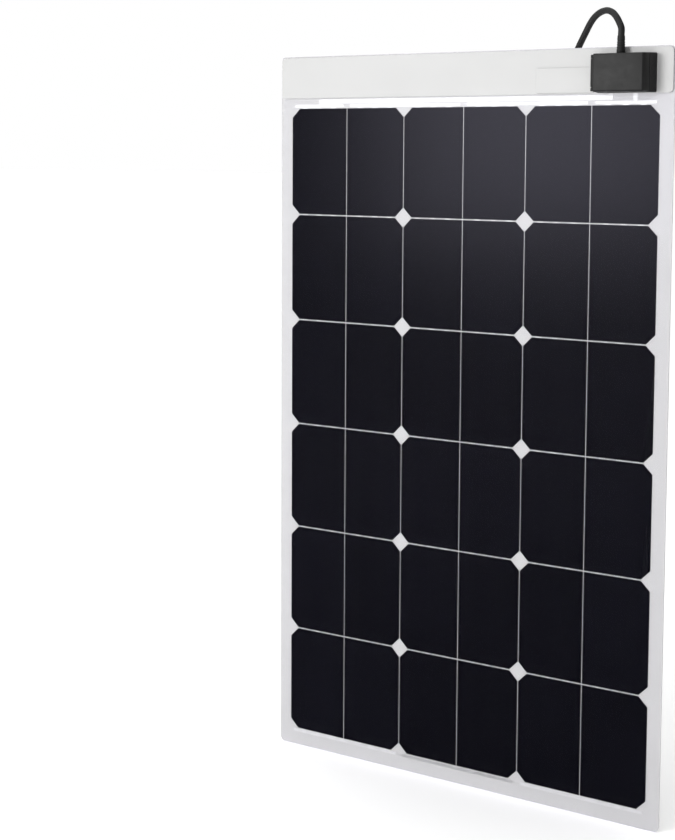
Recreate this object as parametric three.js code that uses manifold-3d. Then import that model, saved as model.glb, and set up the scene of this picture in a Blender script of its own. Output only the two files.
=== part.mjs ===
// A semi-flexible solar sheet: half-cut cells laminated between a stiff white carrier and a clear film,
// with a junction box on its front at the top right, and the free cable that leaves the box.
// Millimetres. +X is right and +Z is up as the sheet is seen from its front, which faces -Y.
// The origin is the centre of the sheet's rear face.

import * as THREE from 'three';
import { mergeVertices } from 'three/addons/utils/BufferGeometryUtils.js';
import Module from 'manifold-3d';

const wasm = await Module();
wasm.setup();

// ---- driving dimensions ----------------------------------------------------------------------

const CELL_COLUMNS = 3;
const CELL_ROWS = 6;
const COLUMN_PITCH = 156;
const ROW_PITCH = 126;
const COLUMN_GAP = 0.9; // between two full cells
const HALF_GAP = 0.9; // between the two halves of one cell
const ROW_GAP = 1.3;
const CORNER_CLIP = 10.5; // the cut corners of a full cell

const SIDE_MARGIN = 15.7;
const TOP_MARGIN = 60.9;
const BOTTOM_MARGIN = 20.4;
const SHEET_CORNER_RADIUS = 6;

const CARRIER_THICKNESS = 1.5;
const ENCAPSULANT_THICKNESS = 0.5;
const CELL_THICKNESS = 0.25;
const FILM_THICKNESS = 0.75;
const STRIP_THICKNESS = 0.5;
const COVER_THICKNESS = 1.5;

const BOX_WIDTH = 67.5; // at the sheet, where it is widest
const BOX_HEIGHT = 41;
const BOX_DEPTH = 23.5;
const BOX_EDGE_TO_SHEET_EDGE = 19.5;
const BOX_TOP_TO_SHEET_TOP = 7;
const BOX_SIDE_DRAFT = 5.3; // how much each side leans in from back to front
const BOX_END_DRAFT = 0.8;
const BOX_CORNER_RADIUS = 1.5;
const BOX_WALL = 3;
const BOX_FLOOR = 2;
const BASE_DEPTH = 12.5;
const PARTING_GAP = 0.6;
const LID_FRONT_BEVEL = 1.25;

const CLEARANCE = 0.3;

const STRIP_EDGE = 1.25; // how far the cover strip stops short of the sheet's edges
const STRIP_BELOW_BOX = 0.5;
const COVER_WIDTH = 68;
const COVER_HEIGHT = 27;
const COVER_CORNER_RADIUS = 2;
const COVER_TO_BOX = 3;
const COVER_ABOVE_BOX_BOTTOM = 0.5;

const BUS_WIDTH = 3.5;
const BUS_TO_CELLS = 1.25;
const BUS_INSET = 4; // how far a bus ribbon stops short of its strings' outer sides
const LEAD_WIDTH = 5;
const LEAD_TO_BUS = 1;
const RISER_THICKNESS = 0.25;
const RISER_ABOVE_BOX_BOTTOM = 8.5; // where the leads come up through the film, under the box
const TAB_LENGTH = 5;
const TAB_ABOVE_FLOOR = 2;

const KNUCKLE_RADIUS = 2.2;
const HINGE_PIN_RADIUS = 1.1;
const KNUCKLE_BORE_RADIUS = 1.5;
const HINGE_OUTSIDE_WALL = 2.2; // how far the hinge's axis stands off the box's left side
const HINGE_END_SPACE = 1.5;
const EAR_LENGTH = 4;
const WEB_REACH = 4; // how far a knuckle's web runs into the wall behind it
const WEB_DEPTH = 5;

const GROOVE_INSET = 0.9;
const GROOVE_WIDTH = 1.4;
const GROOVE_DEPTH = 0.9;
const SEAL_PROUD = 0.3;
const LID_WALL = 2.5;
const TONGUE_WIDTH = 10;
const TONGUE_THICKNESS = 1.5;
const TONGUE_REACH = 4;

const TERMINAL_SIZE = { x: 10, y: 6.5, z: 12 };
const TERMINAL_TO_CABLE = 14; // sideways, from the cable's line to a terminal's middle
const CORE_HOLE_RADIUS = 1.8;
const SCREW_HOLE_RADIUS = 1.9;
const DIODE_HALF_LENGTH = 4.5;
const DIODE_RADIUS = 2.7;
const DIODE_WIRE_RADIUS = 0.6;
const DIODE_ABOVE_BOX_BOTTOM = 6.5;

const CABLE_RADIUS = 3.5;
const CABLE_EXIT_FROM_BOX_RIGHT = 38;
const CABLE_ABOVE_FLOOR = 4.4; // the cable's line, off the box's inner floor
const CABLE_SIDES = 8;
const BOOT_LENGTH = 18; // the part of the strain relief that stands above the box
const BOOT_BASE_RADIUS = 4.6;
const BOOT_TIP_RADIUS = 3.9;
const BOOT_NECK_RADIUS = 3.8;
const BOOT_FLANGE_RADIUS = 4.3;
const BOOT_FLANGE_THICKNESS = 1.5;

const ARCH_TURN = THREE.MathUtils.degToRad(24); // how far the arch leans back from the sheet's plane
const FLOOR_BEND_RADIUS = 30;

// The cable's free stretch in its own upright plane: how far along, and how high.
const CABLE_ROUTE = [
  [0, 429.4],
  [0, 436.8],
  [3.5, 443],
  [7.6, 448.4],
  [13.4, 453.3],
  [21, 456.2],
  [28.4, 456.2],
  [36.2, 454],
  [43, 450.2],
  [48.8, 445],
  [55.6, 436.4],
  [63.2, 426.4],
  [70, 416.8],
  [75.2, 407.6],
  [78.8, 397.6],
  [80.8, 386],
  [81.4, 372],
  [80, 320],
  [75.2, 190],
  [70, 40],
  [64.6, -120],
  [59.8, -260],
  [56.6, -350],
];

const HANK_RUN = 105;
const HANK_OUTER_TURN_RADIUS = 28; // centre line of the cable in the outermost turn
const HANK_RIGHT_CENTRE_X = 50;
const HANK_ENTRY_FROM_CENTRE = 20.3;
const TAPE_THICKNESS = 0.8; // the ties round the hank hold the cable this far off the floor
const SECOND_LAYER_RISE = 6.1; // a turn that rests in the groove between two turns

const SLEEVE_RADIUS = 4.2;
const SLEEVE_LENGTH = 42;
const SLEEVE_START_RISE = 11;
const SLEEVE_START_FROM_CENTRE = 25.5; // clear of the hank's round end
const CORE_RADIUS = 1.6;
const CORE_LENGTH = 30;
const CORE_SPLAY = 0.12;
const FERRULE_RADIUS = 1.1;
const FERRULE_LENGTH = 10;

// ---- places worked out from them ---------------------------------------------------------------

const BLOCK_WIDTH = CELL_COLUMNS * COLUMN_PITCH - COLUMN_GAP;
const BLOCK_HEIGHT = CELL_ROWS * ROW_PITCH - ROW_GAP;
const SHEET_WIDTH = BLOCK_WIDTH + 2 * SIDE_MARGIN;
const SHEET_HEIGHT = BLOCK_HEIGHT + TOP_MARGIN + BOTTOM_MARGIN;
const SHEET_TOP = SHEET_HEIGHT / 2;
const FLOOR_Z = -SHEET_TOP;
const BLOCK_LEFT = -BLOCK_WIDTH / 2;
const BLOCK_TOP = SHEET_TOP - TOP_MARGIN;
const BLOCK_BOTTOM = BLOCK_TOP - BLOCK_HEIGHT;

const CARRIER_FRONT = -CARRIER_THICKNESS;
const ENCAPSULANT_FRONT = CARRIER_FRONT - ENCAPSULANT_THICKNESS;
const CELL_FRONT = ENCAPSULANT_FRONT - CELL_THICKNESS;
const FILM_FRONT = CELL_FRONT - FILM_THICKNESS;
const STRIP_FRONT = FILM_FRONT - STRIP_THICKNESS;

const BOX_RIGHT = SHEET_WIDTH / 2 - BOX_EDGE_TO_SHEET_EDGE;
const BOX_LEFT = BOX_RIGHT - BOX_WIDTH;
const BOX_TOP = SHEET_TOP - BOX_TOP_TO_SHEET_TOP;
const BOX_BOTTOM = BOX_TOP - BOX_HEIGHT;
const BOX_BACK = STRIP_FRONT;
const BOX_FRONT = BOX_BACK - BOX_DEPTH;
const BASE_RIM = BOX_BACK - BASE_DEPTH;
const LID_RIM = BASE_RIM - PARTING_GAP;

const STRIP_BOTTOM = BOX_BOTTOM - STRIP_BELOW_BOX;

const TOP_BUS_BOTTOM = BLOCK_TOP + BUS_TO_CELLS;
const TOP_BUS_TOP = TOP_BUS_BOTTOM + BUS_WIDTH;
const LEAD_BOTTOM = TOP_BUS_TOP + LEAD_TO_BUS;
const LEAD_TOP = LEAD_BOTTOM + LEAD_WIDTH;
const RISER_Z = BOX_BOTTOM + RISER_ABOVE_BOX_BOTTOM;
const TAB_Y = BOX_BACK - BOX_FLOOR - TAB_ABOVE_FLOOR;

const HINGE_Y = (BASE_RIM + LID_RIM) / 2;
const HINGE_X = BOX_LEFT + (BOX_SIDE_DRAFT * (BOX_BACK - HINGE_Y)) / BOX_DEPTH - HINGE_OUTSIDE_WALL;
const HINGE_BOTTOM = BOX_BOTTOM + HINGE_END_SPACE;
const HINGE_TOP = BOX_TOP - HINGE_END_SPACE;

const CABLE_X = BOX_RIGHT - CABLE_EXIT_FROM_BOX_RIGHT;
const CABLE_Y = BOX_BACK - BOX_FLOOR - CABLE_ABOVE_FLOOR;
const BOOT_TIP_Z = BOX_TOP + BOOT_LENGTH;
const POSITIVE_TERMINAL_X = CABLE_X - TERMINAL_TO_CABLE;
const NEGATIVE_TERMINAL_X = CABLE_X + TERMINAL_TO_CABLE;
const TERMINAL_BOTTOM = RISER_Z + TAB_LENGTH + 1;

const CABLE_ON_FLOOR_Z = FLOOR_Z + TAPE_THICKNESS + CABLE_RADIUS;
const HANK_FRONT_LINE_Y = CABLE_Y + CABLE_ROUTE[CABLE_ROUTE.length - 1][0] * Math.sin(ARCH_TURN);
const HANK_MIDDLE_Y = HANK_FRONT_LINE_Y + HANK_OUTER_TURN_RADIUS;

// ---- materials -------------------------------------------------------------------------------

function material(color, roughness, metalness) {
  return new THREE.MeshStandardMaterial({ color, roughness, metalness });
}

const WHITE_SHEET = material(0xe6e6e4, 0.6, 0);
const CLEAR_FILM = material(0xf2f2f2, 0.25, 0);
const WHITE_TRIM = material(0xe2e2e0, 0.5, 0);
const CELL_BLUE_BLACK = material(0x23252d, 0.35, 0);
const TINNED_RIBBON = material(0xc9cacc, 0.35, 0.8);
const DARK_BOX = material(0x4a4a4a, 0.55, 0);
const BLACK_RUBBER = material(0x222222, 0.7, 0);
const TERMINAL_METAL = material(0xb8b4a8, 0.35, 0.9);
const BLACK_EPOXY = material(0x161616, 0.45, 0);
const RED_CORE = material(0x9c2a22, 0.5, 0);

// ---- solids ----------------------------------------------------------------------------------

const group = new THREE.Group();

function add(name, geometry, look, parent = group) {
  const mesh = new THREE.Mesh(geometry, look);
  mesh.name = name;
  parent.add(mesh);
  return mesh;
}

function toSolid(geometry) {
  const bare = geometry.clone();
  bare.deleteAttribute('normal');
  bare.deleteAttribute('uv');
  const merged = mergeVertices(bare, 1e-4);
  return new wasm.Manifold(
    new wasm.Mesh({
      numProp: 3,
      vertProperties: new Float32Array(merged.attributes.position.array),
      triVerts: new Uint32Array(merged.index.array),
    }),
  );
}

function toGeometry(solid) {
  const mesh = solid.getMesh();
  const geometry = new THREE.BufferGeometry();
  geometry.setAttribute('position', new THREE.BufferAttribute(new Float32Array(mesh.vertProperties), 3));
  geometry.setIndex(new THREE.BufferAttribute(new Uint32Array(mesh.triVerts), 1));
  geometry.computeVertexNormals();
  return geometry;
}

function union(geometries) {
  return geometries.map(toSolid).reduce((whole, piece) => whole.add(piece));
}

// A box given by its lowest and highest corners.
function block(low, high) {
  const size = high.map((value, axis) => value - low[axis]);
  const geometry = new THREE.BoxGeometry(...size);
  return geometry.translate(...low.map((value, axis) => value + size[axis] / 2));
}

// A flat plate: an outline in X and Z whose back lies at backY and whose front faces -Y.
function plate(outline, backY, thickness) {
  const geometry = new THREE.ExtrudeGeometry(outline, {
    depth: thickness,
    bevelEnabled: false,
    curveSegments: 6,
  });
  const position = geometry.attributes.position;
  for (let i = 0; i < position.count; i += 1) {
    position.setXYZ(i, position.getX(i), backY - position.getZ(i), position.getY(i));
  }
  geometry.computeVertexNormals();
  return geometry;
}

function rectangle(left, bottom, right, top) {
  return new THREE.Shape([
    new THREE.Vector2(left, bottom),
    new THREE.Vector2(right, bottom),
    new THREE.Vector2(right, top),
    new THREE.Vector2(left, top),
  ]);
}

function roundedRectangle(left, bottom, right, top, radius) {
  const shape = new THREE.Shape();
  shape.moveTo(left + radius, bottom);
  shape.lineTo(right - radius, bottom);
  shape.absarc(right - radius, bottom + radius, radius, -Math.PI / 2, 0, false);
  shape.lineTo(right, top - radius);
  shape.absarc(right - radius, top - radius, radius, 0, Math.PI / 2, false);
  shape.lineTo(left + radius, top);
  shape.absarc(left + radius, top - radius, radius, Math.PI / 2, Math.PI, false);
  shape.lineTo(left, bottom + radius);
  shape.absarc(left + radius, bottom + radius, radius, Math.PI, Math.PI * 1.5, false);
  return shape;
}

// A cylinder along Z between two heights.
function post(x, y, radius, bottom, top, sides = 24) {
  const geometry = new THREE.CylinderGeometry(radius, radius, top - bottom, sides);
  geometry.rotateX(Math.PI / 2);
  return geometry.translate(x, y, (bottom + top) / 2);
}

// A turned solid whose axis runs along the given direction from a point. The profile is [radius, height].
function turned(profile, start, direction, sides = 16) {
  const points = profile.map(([radius, height]) => new THREE.Vector2(radius, height));
  const geometry = new THREE.LatheGeometry(points, sides);
  const turn = new THREE.Quaternion().setFromUnitVectors(
    new THREE.Vector3(0, 1, 0),
    direction.clone().normalize(),
  );
  geometry.applyQuaternion(turn);
  return geometry.translate(start.x, start.y, start.z);
}

// ---- the laminated sheet -----------------------------------------------------------------------

function sheetOutline() {
  return roundedRectangle(
    -SHEET_WIDTH / 2,
    -SHEET_HEIGHT / 2,
    SHEET_WIDTH / 2,
    SHEET_HEIGHT / 2,
    SHEET_CORNER_RADIUS,
  );
}

// One half of a cell: the outer side's two corners are cut, the side at the middle is square.
function halfCellOutline(left, bottom, right, top, cutLeft) {
  const outer = cutLeft ? left : right;
  const inward = cutLeft ? CORNER_CLIP : -CORNER_CLIP;
  const inner = cutLeft ? right : left;
  const corners = [
    [inner, bottom],
    [inner, top],
    [outer + inward, top],
    [outer, top - CORNER_CLIP],
    [outer, bottom + CORNER_CLIP],
    [outer + inward, bottom],
  ];
  return new THREE.Shape(corners.map(([x, z]) => new THREE.Vector2(x, z)));
}

function stringSpan(stringIndex) {
  const column = Math.floor((stringIndex - 1) / 2);
  const cutLeft = stringIndex % 2 === 1;
  const cellLeft = BLOCK_LEFT + column * COLUMN_PITCH;
  const cellWidth = COLUMN_PITCH - COLUMN_GAP;
  const halfWidth = (cellWidth - HALF_GAP) / 2;
  const left = cutLeft ? cellLeft : cellLeft + halfWidth + HALF_GAP;
  return { left, right: left + halfWidth, middle: left + halfWidth / 2, cutLeft };
}

// Six strings of half cells run down the sheet. Strings 1 and 2 share the first column of full cells.
function addCells() {
  for (let string = 1; string <= 2 * CELL_COLUMNS; string += 1) {
    const { left, right, cutLeft } = stringSpan(string);
    for (let row = 1; row <= CELL_ROWS; row += 1) {
      const top = BLOCK_TOP - (row - 1) * ROW_PITCH;
      const bottom = top - (ROW_PITCH - ROW_GAP);
      const outline = halfCellOutline(left, bottom, right, top, cutLeft);
      add(`cell_s${string}_r${row}`, plate(outline, ENCAPSULANT_FRONT, CELL_THICKNESS), CELL_BLUE_BLACK);
    }
  }
}

// A ribbon that joins the ends of two neighbouring strings.
function addBus(name, firstString, bottom) {
  const left = stringSpan(firstString).left + BUS_INSET;
  const right = stringSpan(firstString + 1).right - BUS_INSET;
  const outline = rectangle(left, bottom, right, bottom + BUS_WIDTH);
  add(name, plate(outline, ENCAPSULANT_FRONT, CELL_THICKNESS), TINNED_RIBBON);
}

function addBuses() {
  const bottomBus = BLOCK_BOTTOM - BUS_TO_CELLS - BUS_WIDTH;
  addBus('bus_ribbon_top_s2_s3', 2, TOP_BUS_BOTTOM);
  addBus('bus_ribbon_top_s4_s5', 4, TOP_BUS_BOTTOM);
  addBus('bus_ribbon_bottom_s1_s2', 1, bottomBus);
  addBus('bus_ribbon_bottom_s3_s4', 3, bottomBus);
  addBus('bus_ribbon_bottom_s5_s6', 5, bottomBus);
}

function ribbonBlock(left, bottom, right, top) {
  return block([left, CELL_FRONT, bottom], [right, ENCAPSULANT_FRONT, top]);
}

// The end of a lead: up the sheet, forward through the slots into the box, and up again to its terminal.
function leadRiser(middleX, fromZ) {
  const left = middleX - LEAD_WIDTH / 2;
  const right = middleX + LEAD_WIDTH / 2;
  const top = RISER_Z + RISER_THICKNESS;
  return [
    ribbonBlock(left, fromZ, right, top),
    block([left, TAB_Y, RISER_Z], [right, ENCAPSULANT_FRONT, top]),
    block([left, TAB_Y, RISER_Z], [right, TAB_Y + RISER_THICKNESS, RISER_Z + TAB_LENGTH]),
  ];
}

function addLeads() {
  const first = stringSpan(1);
  const last = stringSpan(2 * CELL_COLUMNS);
  const positive = union([
    ribbonBlock(first.left + BUS_INSET, TOP_BUS_BOTTOM, first.right - BUS_INSET, TOP_BUS_TOP),
    ribbonBlock(first.middle, TOP_BUS_BOTTOM, first.middle + LEAD_WIDTH, LEAD_TOP),
    ribbonBlock(first.middle, LEAD_BOTTOM, POSITIVE_TERMINAL_X + LEAD_WIDTH / 2, LEAD_TOP),
    ...leadRiser(POSITIVE_TERMINAL_X, LEAD_BOTTOM),
  ]);
  const negative = union([
    ribbonBlock(last.left + BUS_INSET, TOP_BUS_BOTTOM, last.right - BUS_INSET, TOP_BUS_TOP),
    ...leadRiser(NEGATIVE_TERMINAL_X, TOP_BUS_BOTTOM),
  ]);
  add('positive_lead_ribbon', toGeometry(positive), TINNED_RIBBON);
  add('negative_lead_ribbon', toGeometry(negative), TINNED_RIBBON);
}

// The slots that a lead passes through, cut out of whatever lies between the cells and the box.
function withLeadSlots(geometry) {
  let solid = toSolid(geometry);
  for (const x of [POSITIVE_TERMINAL_X, NEGATIVE_TERMINAL_X]) {
    const half = LEAD_WIDTH / 2 + CLEARANCE;
    const low = [x - half, BOX_FRONT, RISER_Z - CLEARANCE];
    const high = [x + half, CELL_FRONT + 0.1, RISER_Z + RISER_THICKNESS + CLEARANCE];
    solid = solid.subtract(toSolid(block(low, high)));
  }
  return toGeometry(solid);
}

function addSheetLayers() {
  add('carrier_sheet', plate(sheetOutline(), 0, CARRIER_THICKNESS), WHITE_SHEET);
  add('rear_encapsulant', plate(sheetOutline(), CARRIER_FRONT, ENCAPSULANT_THICKNESS), WHITE_SHEET);
  add('front_film', withLeadSlots(plate(sheetOutline(), CELL_FRONT, FILM_THICKNESS)), CLEAR_FILM);

  const strip = roundedRectangle(
    -SHEET_WIDTH / 2 + STRIP_EDGE,
    STRIP_BOTTOM,
    SHEET_WIDTH / 2 - STRIP_EDGE,
    SHEET_TOP - STRIP_EDGE,
    SHEET_CORNER_RADIUS - STRIP_EDGE,
  );
  add('top_cover_strip', withLeadSlots(plate(strip, FILM_FRONT, STRIP_THICKNESS)), WHITE_TRIM);

  const coverRight = BOX_LEFT - COVER_TO_BOX;
  const coverBottom = BOX_BOTTOM + COVER_ABOVE_BOX_BOTTOM;
  const cover = roundedRectangle(
    coverRight - COVER_WIDTH,
    coverBottom,
    coverRight,
    coverBottom + COVER_HEIGHT,
    COVER_CORNER_RADIUS,
  );
  add('lead_cover', plate(cover, STRIP_FRONT, COVER_THICKNESS), WHITE_TRIM);
}

// ---- the junction box ---------------------------------------------------------------------------

// The box's outline at one depth, inset by some of its wall, as points in X and Z.
function boxSection(y, inset) {
  const share = (BOX_BACK - y) / BOX_DEPTH;
  const left = BOX_LEFT + share * BOX_SIDE_DRAFT + inset;
  const right = BOX_RIGHT - share * BOX_SIDE_DRAFT - inset;
  const bottom = BOX_BOTTOM + share * BOX_END_DRAFT + inset;
  const top = BOX_TOP - share * BOX_END_DRAFT - inset;
  const radius = Math.max(BOX_CORNER_RADIUS - inset, 0.5);
  const shape = roundedRectangle(left, bottom, right, top, radius);
  return shape.extractPoints(4).shape.map((point) => new THREE.Vector3(point.x, y, point.y));
}

// A solid through sections that each have the same number of points, from the back to the front.
function loft(sections) {
  const count = sections[0].length;
  const positions = sections.flat().flatMap((point) => [point.x, point.y, point.z]);
  const index = [];
  for (let s = 0; s + 1 < sections.length; s += 1) {
    for (let i = 0; i < count; i += 1) {
      const a = s * count + i;
      const b = s * count + ((i + 1) % count);
      index.push(a, b, b + count, a, b + count, a + count);
    }
  }
  const last = (sections.length - 1) * count;
  for (let i = 1; i + 1 < count; i += 1) {
    index.push(0, i + 1, i);
    index.push(last, last + i, last + i + 1);
  }
  const geometry = new THREE.BufferGeometry();
  geometry.setAttribute('position', new THREE.Float32BufferAttribute(positions, 3));
  geometry.setIndex(index);
  return geometry;
}

function boxLoft(backY, frontY, inset) {
  return toSolid(loft([boxSection(backY, inset), boxSection(frontY, inset)]));
}

function ring(backY, frontY, outerInset, innerInset) {
  const reach = 1;
  return boxLoft(backY, frontY, outerInset).subtract(boxLoft(backY + reach, frontY - reach, innerInset));
}

function knuckle(bottom, top, webBackY, webFrontY) {
  return union([
    post(HINGE_X, HINGE_Y, KNUCKLE_RADIUS, bottom, top),
    block([HINGE_X, webFrontY, bottom], [HINGE_X + WEB_REACH, webBackY, top]),
  ]);
}

function hingeRoom(bottom, top) {
  const radius = KNUCKLE_RADIUS + CLEARANCE;
  return toSolid(post(HINGE_X, HINGE_Y, radius, bottom - CLEARANCE, top + CLEARANCE));
}

function addBoxBase() {
  const cavity = boxLoft(BOX_BACK - BOX_FLOOR, BASE_RIM - 1, BOX_WALL);
  const groove = ring(BASE_RIM + GROOVE_DEPTH, BASE_RIM - 1, GROOVE_INSET, GROOVE_INSET + GROOVE_WIDTH);
  const cableHole = toSolid(
    post(CABLE_X, CABLE_Y, BOOT_NECK_RADIUS + CLEARANCE, BOX_TOP - 2 * BOX_WALL, BOX_TOP + 1),
  );
  const webBack = BASE_RIM + WEB_DEPTH;
  const pin = toSolid(post(HINGE_X, HINGE_Y, HINGE_PIN_RADIUS, HINGE_BOTTOM, HINGE_TOP, 16));
  const solid = boxLoft(BOX_BACK, BASE_RIM, 0)
    .add(knuckle(HINGE_BOTTOM, HINGE_BOTTOM + EAR_LENGTH, webBack, BASE_RIM))
    .add(knuckle(HINGE_TOP - EAR_LENGTH, HINGE_TOP, webBack, BASE_RIM))
    .subtract(cavity)
    .subtract(groove)
    .subtract(cableHole)
    .subtract(hingeRoom(HINGE_BOTTOM + EAR_LENGTH, HINGE_TOP - EAR_LENGTH))
    .add(pin);
  add('box_base', withLeadSlots(toGeometry(solid)), DARK_BOX);
}

// The tongue that goes into the base on the side away from the hinge, and its root in the lid's wall.
function lidTongue() {
  const innerRight = BOX_RIGHT - BOX_SIDE_DRAFT * ((BOX_BACK - LID_RIM) / BOX_DEPTH) - BOX_WALL;
  const right = innerRight - CLEARANCE;
  const left = right - TONGUE_THICKNESS;
  const bottom = (BOX_TOP + BOX_BOTTOM - TONGUE_WIDTH) / 2;
  const top = bottom + TONGUE_WIDTH;
  const rootFront = LID_RIM - 3;
  return union([
    block([left, rootFront, bottom], [right, LID_RIM + TONGUE_REACH, top]),
    block([left, rootFront, bottom], [innerRight + 1, LID_RIM - 0.2, top]),
  ]);
}

function addBoxLid() {
  const bevelStart = BOX_FRONT + LID_FRONT_BEVEL;
  const outer = toSolid(
    loft([
      boxSection(LID_RIM, 0),
      boxSection(bevelStart, 0),
      boxSection(BOX_FRONT, LID_FRONT_BEVEL),
    ]),
  );
  const cavity = boxLoft(LID_RIM + 1, BOX_FRONT + BOX_FLOOR, LID_WALL);
  const knuckleBottom = HINGE_BOTTOM + EAR_LENGTH + CLEARANCE;
  const knuckleTop = HINGE_TOP - EAR_LENGTH - CLEARANCE;
  const bore = toSolid(post(HINGE_X, HINGE_Y, KNUCKLE_BORE_RADIUS, BOX_BOTTOM, BOX_TOP));
  const solid = outer
    .subtract(cavity)
    .add(knuckle(knuckleBottom, knuckleTop, LID_RIM, LID_RIM - WEB_DEPTH).subtract(cavity))
    .add(lidTongue())
    .subtract(hingeRoom(HINGE_BOTTOM, HINGE_BOTTOM + EAR_LENGTH))
    .subtract(hingeRoom(HINGE_TOP - EAR_LENGTH, HINGE_TOP))
    .subtract(bore);
  add('box_lid', toGeometry(solid), DARK_BOX);
}

function addLidSeal() {
  const back = BASE_RIM + GROOVE_DEPTH - CLEARANCE;
  const front = BASE_RIM - SEAL_PROUD;
  const outer = GROOVE_INSET + CLEARANCE;
  const inner = GROOVE_INSET + GROOVE_WIDTH - CLEARANCE;
  add('lid_seal', toGeometry(ring(back, front, outer, inner)), BLACK_RUBBER);
}

// A clamp: a brass block with a hole for the core from above, and a screw's hole from the front.
function addTerminal(name, middleX) {
  const back = BOX_BACK - BOX_FLOOR - CLEARANCE;
  const front = back - TERMINAL_SIZE.y;
  const top = TERMINAL_BOTTOM + TERMINAL_SIZE.z;
  const middleZ = (TERMINAL_BOTTOM + top) / 2;
  const body = toSolid(
    block([middleX - TERMINAL_SIZE.x / 2, front, TERMINAL_BOTTOM], [middleX + TERMINAL_SIZE.x / 2, back, top]),
  );
  const coreHole = toSolid(post(middleX, (front + back) / 2, CORE_HOLE_RADIUS, middleZ - 2, top + 1, 16));
  const screwHole = toSolid(
    turned(
      [[0, 0], [SCREW_HOLE_RADIUS, 0], [SCREW_HOLE_RADIUS, 4], [0, 4]],
      new THREE.Vector3(middleX, front + 2.6, middleZ),
      new THREE.Vector3(0, -1, 0),
    ),
  );
  add(name, toGeometry(body.subtract(coreHole).subtract(screwHole)), TERMINAL_METAL);
}

// An axial diode that lies across the box below the terminals, with its wire legs.
function addBypassDiode() {
  const reach = (NEGATIVE_TERMINAL_X - POSITIVE_TERMINAL_X) / 2 - LEAD_WIDTH / 2 - 1.5;
  const profile = [
    [0, -reach],
    [DIODE_WIRE_RADIUS, -reach],
    [DIODE_WIRE_RADIUS, -DIODE_HALF_LENGTH],
    [DIODE_RADIUS, -DIODE_HALF_LENGTH],
    [DIODE_RADIUS, DIODE_HALF_LENGTH],
    [DIODE_WIRE_RADIUS, DIODE_HALF_LENGTH],
    [DIODE_WIRE_RADIUS, reach],
    [0, reach],
  ];
  const middleY = BOX_BACK - BOX_FLOOR - DIODE_RADIUS - 0.5;
  const centre = new THREE.Vector3(CABLE_X, middleY, BOX_BOTTOM + DIODE_ABOVE_BOX_BOTTOM);
  add('bypass_diode', turned(profile, centre, new THREE.Vector3(1, 0, 0)), BLACK_EPOXY);
}

// ---- the cable ------------------------------------------------------------------------------------

function addStrainRelief() {
  const wallInside = BOX_TOP - BOX_WALL - CLEARANCE;
  const flangeBack = wallInside - BOOT_FLANGE_THICKNESS;
  const flangeFront = wallInside - 0.5;
  const profile = [
    [0, flangeBack],
    [BOOT_FLANGE_RADIUS, flangeBack],
    [BOOT_FLANGE_RADIUS, flangeFront],
    [BOOT_NECK_RADIUS, flangeFront],
    [BOOT_NECK_RADIUS, BOX_TOP + CLEARANCE],
    [BOOT_BASE_RADIUS, BOX_TOP + CLEARANCE],
    [BOOT_BASE_RADIUS, BOX_TOP + 3],
    [BOOT_TIP_RADIUS, BOOT_TIP_Z],
    [0, BOOT_TIP_Z],
  ];
  const start = new THREE.Vector3(CABLE_X, CABLE_Y, 0);
  add('strain_relief', turned(profile, start, new THREE.Vector3(0, 0, 1), 20), BLACK_RUBBER);
}

function addCableRun() {
  const along = new THREE.Vector3(-Math.cos(ARCH_TURN), Math.sin(ARCH_TURN), 0);
  const exit = new THREE.Vector3(CABLE_X, CABLE_Y, 0);
  const points = CABLE_ROUTE.map(([distance, height]) =>
    exit.clone().addScaledVector(along, distance).setZ(height),
  );
  points[0].z = BOOT_TIP_Z + CLEARANCE;
  const drop = points[points.length - 1];
  for (const degrees of [0, 22.5, 45, 67.5, 90]) {
    const angle = THREE.MathUtils.degToRad(degrees);
    const x = drop.x - FLOOR_BEND_RADIUS * (1 - Math.cos(angle));
    const z = CABLE_ON_FLOOR_Z + FLOOR_BEND_RADIUS * (1 - Math.sin(angle));
    points.push(new THREE.Vector3(x, drop.y, z));
  }
  const entryX = HANK_RIGHT_CENTRE_X + HANK_ENTRY_FROM_CENTRE;
  points.push(new THREE.Vector3(entryX, drop.y, CABLE_ON_FLOOR_Z));
  const route = new THREE.CatmullRomCurve3(points, false, 'centripetal');
  const section = new THREE.Shape();
  section.absarc(0, 0, CABLE_RADIUS, 0, 2 * Math.PI, false);
  const tube = new THREE.ExtrudeGeometry(section, {
    steps: 80,
    curveSegments: CABLE_SIDES / 2,
    extrudePath: route,
  });
  add('cable_run', tube, BLACK_RUBBER);
}

// The hank's outer shape: a flat bundle with round ends, lying on the floor behind the sheet.
function addHank() {
  const left = HANK_RIGHT_CENTRE_X - HANK_RUN;
  const radius = HANK_OUTER_TURN_RADIUS + CABLE_RADIUS;
  const outline = new THREE.Shape();
  outline.absarc(HANK_RIGHT_CENTRE_X, HANK_MIDDLE_Y, radius, -Math.PI / 2, Math.PI / 2, false);
  outline.absarc(left, HANK_MIDDLE_Y, radius, Math.PI / 2, Math.PI * 1.5, false);
  const geometry = new THREE.ExtrudeGeometry(outline, {
    depth: TAPE_THICKNESS + 2 * CABLE_RADIUS + SECOND_LAYER_RISE,
    bevelEnabled: false,
    curveSegments: 12,
  });
  add('cable_hank', geometry.translate(0, 0, FLOOR_Z), BLACK_RUBBER);
}

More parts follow.
